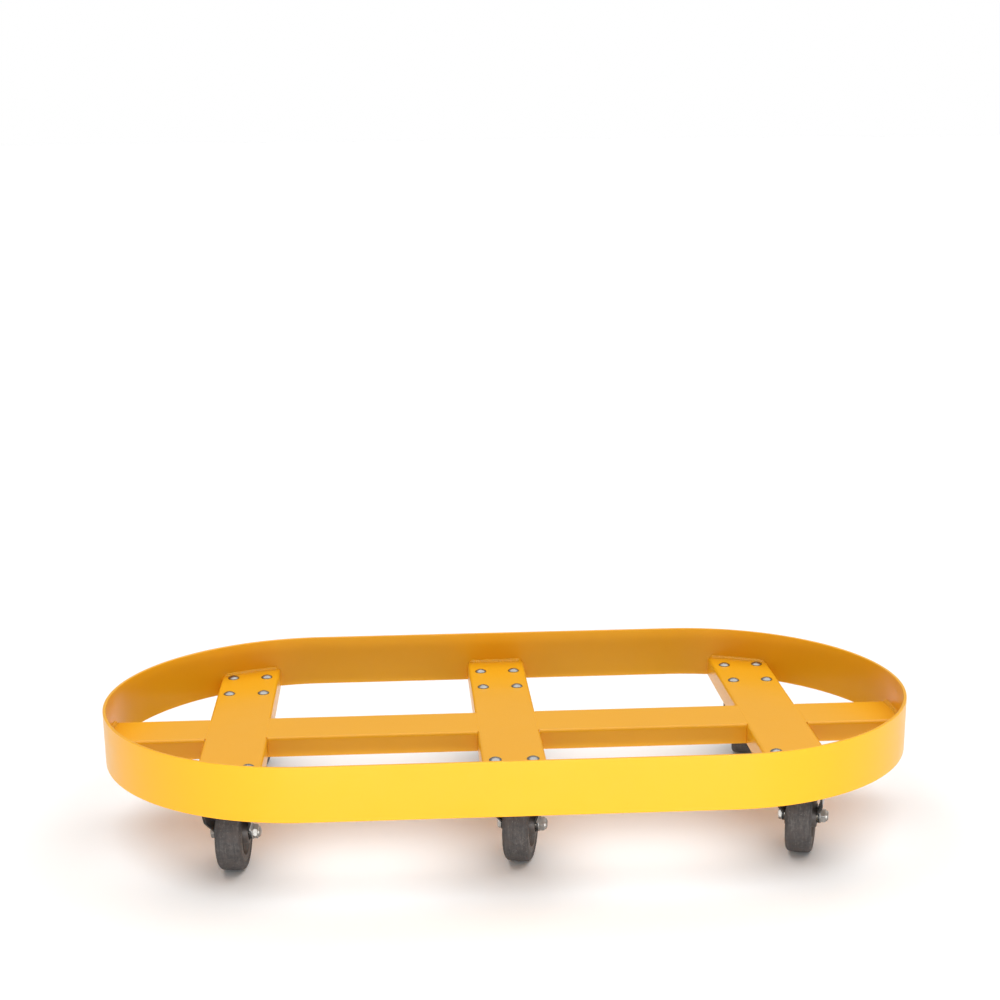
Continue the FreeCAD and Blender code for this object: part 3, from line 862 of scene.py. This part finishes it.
def wheel_centre(name, seed):
    """Moulded centre: hub, web with six ribs a side, rim."""
    made = blank()
    rim = RIM_HALF
    hub = HUB_HALF
    side = [(hub, 12.91), (hub, 17.0), (hub - 0.25, 17.55), (hub - 0.8, 17.9), (WEB_HALF + 1.2, 18.8)]
    side += [(WEB_HALF + 0.35, 19.2), (WEB_HALF, 20.2), (WEB_HALF, 30.8), (WEB_HALF + 0.3, 32.2)]
    side += [(WEB_HALF + 1.3, 33.3), (rim - 1.2, 34.8), (rim - 0.5, 35.1)]
    side += [(rim - 0.1, 35.5), (rim, 36.1), (rim, 39.2), (rim - 0.35, 39.5)]
    side += [(rim - 0.35, 40.1), (rim, 40.4), (rim, 44.0)]
    turned(made, side + [(-x, r) for x, r in reversed(side)], 96, loop=True)
    reach = rim - 4.0
    for step in range(6):
        a = 2 * math.pi * step / 6 + math.pi / 2
        rings = []
        for r in (16.8, 35.6):
            ring = []
            for x, t in rounded_slab(reach, 1.5, 0.7):
                ring.append((x, r * math.cos(a) - t * math.sin(a), r * math.sin(a) + t * math.cos(a)))
            rings.append(ring)
        add_rings(made, rings, caps=(True, True))
    piece = build("moulded_centre_" + name, made, wheel_frame(name), 30.0, [MOULDED], seed)
    hand_over(piece, "wheel_" + name, ["wheel_core_" + name])


def rounded_slab(half_long, half_wide, corner, count=4):
    """The outline of a slab with rounded corners, seen along it."""
    points = []
    for sx, sy, start in ((1, 1, 0), (-1, 1, 90), (-1, -1, 180), (1, -1, 270)):
        for k in range(count + 1):
            a = math.radians(start + 90 * k / count)
            x = sx * (half_long - corner) + corner * math.cos(a)
            y = sy * (half_wide - corner) + corner * math.sin(a)
            points.append((x, y))
    return points


def tyre(name, seed):
    """Solid tyre: slightly crowned tread, round shoulders, a stepped side, small scuffs."""
    made = blank()
    half = TREAD_HALF
    radius = WHEEL_RADIUS / MM
    crown = 0.45
    flat = half - SHOULDER
    side = [(half - 0.55, 44.0), (half - 0.55, 45.6), (half - 0.25, 46.2), (half, 46.6), (half, 48.6)]
    side += arc_points(flat, radius - crown - SHOULDER, SHOULDER, 0, 90, 8)
    tread = []
    for k in range(1, 14):
        x = flat * (1 - k / 7.0)
        tread.append((x, radius - crown * (x / flat) ** 2))
    profile = side + tread + [(-x, r) for x, r in reversed(side)]
    steps = 168
    rings = []
    for x, r in profile:
        ring = []
        for k in range(steps):
            a = 2 * math.pi * k / steps
            dip = 0.0
            if r > 46.0:
                spot = Vector((x * 0.22, r * math.cos(a) * 0.11, r * math.sin(a) * 0.11))
                spot += Vector(seed) * 40
                dip = 0.16 * abs(waves.noise(spot))
                dip += 0.10 * max(0.0, waves.noise(spot * 3.1) - 0.15)
            ring.append((x, (r - dip) * math.cos(a), (r - dip) * math.sin(a)))
        rings.append(ring)
    add_rings(made, rings, loop=True)
    piece = build("solid_tyre_" + name, made, wheel_frame(name), 40.0, [RUBBER], seed)
    hand_over(piece, "wheel_" + name, ["tyre_" + name])


# ---------------------------------------------------------------- floor, light, camera
def floor():
    made = blank()
    steps = 96
    radii = [0.0, 1000.0, 3000.0, 8000.0, 20000.0, 60000.0]
    rings = [[(0.0, 0.0, 0.0)]]
    for radius in radii[1:]:
        ring = []
        for k in range(steps):
            a = 2 * math.pi * k / steps
            ring.append((radius * math.cos(a), radius * math.sin(a), 0.0))
        rings.append(ring)
    add_rings(made, rings)
    piece = build("floor", made, materials=[floor_paper("pale_floor")])


def softbox(name, place, aim, width, height, power, tint=(1.0, 1.0, 1.0)):
    light = bpy.data.lights.new(name, "AREA")
    light.shape = "RECTANGLE"
    light.size = width
    light.size_y = height
    light.energy = power
    light.color = tint
    lamp = bpy.data.objects.new(name, light)
    lamp.location = place
    lamp.rotation_euler = (Vector(aim) - Vector(place)).to_track_quat("-Z", "Y").to_euler()
    bpy.context.scene.collection.objects.link(lamp)


def backdrop():
    """A white cyclorama round the horizon under a darker ceiling."""
    world = bpy.data.worlds.new("studio")
    bpy.context.scene.world = world
    world.use_nodes = True
    nodes, links = world.node_tree.nodes, world.node_tree.links
    split = nodes.new("ShaderNodeSeparateXYZ")
    links.new(nodes.new("ShaderNodeTexCoord").outputs["Generated"], split.inputs[0])
    stops = [(0.0, 1.0), (WALL_TOP, 1.0), (CEILING_EDGE, CEILING), (1.0, CEILING)]
    tone = ramp(nodes, links, split.outputs["Z"], stops)
    links.new(tone, nodes["Background"].inputs["Color"])
    nodes["Background"].inputs["Strength"].default_value = 1.0


def studio():
    backdrop()
    softbox("low_strip", (0.25, -3.8, 0.17), (0.0, 0.0, 0.15), 3.4, 0.32, STRIP_POWER)
    light = bpy.data.lights.new("overhead", "SUN")
    light.energy = OVERHEAD_POWER
    light.angle = math.radians(84.0)
    lamp = bpy.data.objects.new("overhead", light)
    lamp.rotation_euler = (math.radians(-6.0), math.radians(5.0), 0.0)
    bpy.context.scene.collection.objects.link(lamp)
    bpy.context.scene.view_settings.view_transform = "Standard"


def camera():
    """The view of the dolly: from the front, 2.9 m off, a little over a metre up."""
    yaw, pitch, roll = (math.radians(angle) for angle in (CAMERA_YAW, CAMERA_PITCH, CAMERA_ROLL))
    ahead = Vector((math.sin(yaw) * math.cos(pitch), math.cos(yaw) * math.cos(pitch), -math.sin(pitch)))
    right = Vector((math.cos(yaw), -math.sin(yaw), 0.0))
    up = right.cross(ahead)
    across = right * math.cos(roll) + up * math.sin(roll)
    upward = up * math.cos(roll) - right * math.sin(roll)
    data = bpy.data.cameras.new("camera")
    data.sensor_width = 36.0
    data.lens = CAMERA_LENS
    data.shift_x, data.shift_y = CAMERA_SHIFT
    data.clip_end = 200.0
    eye = bpy.data.objects.new("camera", data)
    turn = Matrix((across, upward, -ahead)).transposed().to_4x4()
    eye.matrix_world = Matrix.Translation(CAMERA_PLACE) @ turn
    bpy.context.scene.collection.objects.link(eye)
    bpy.context.scene.camera = eye


members()
weld_beads()
carriage_bolts()
lock_washers()
caster_nuts()
kingpins()
for count, caster in enumerate(CASTERS):
    seed = (0.31 * count, 0.17 * count, 0.23 * count)
    clock = math.radians(CLOCKS[caster])
    pressings(caster, seed)
    axle_bolt(caster, clock, seed)
    wheel_centre(caster, seed)
    tyre(caster, seed)
floor()
studio()
camera()
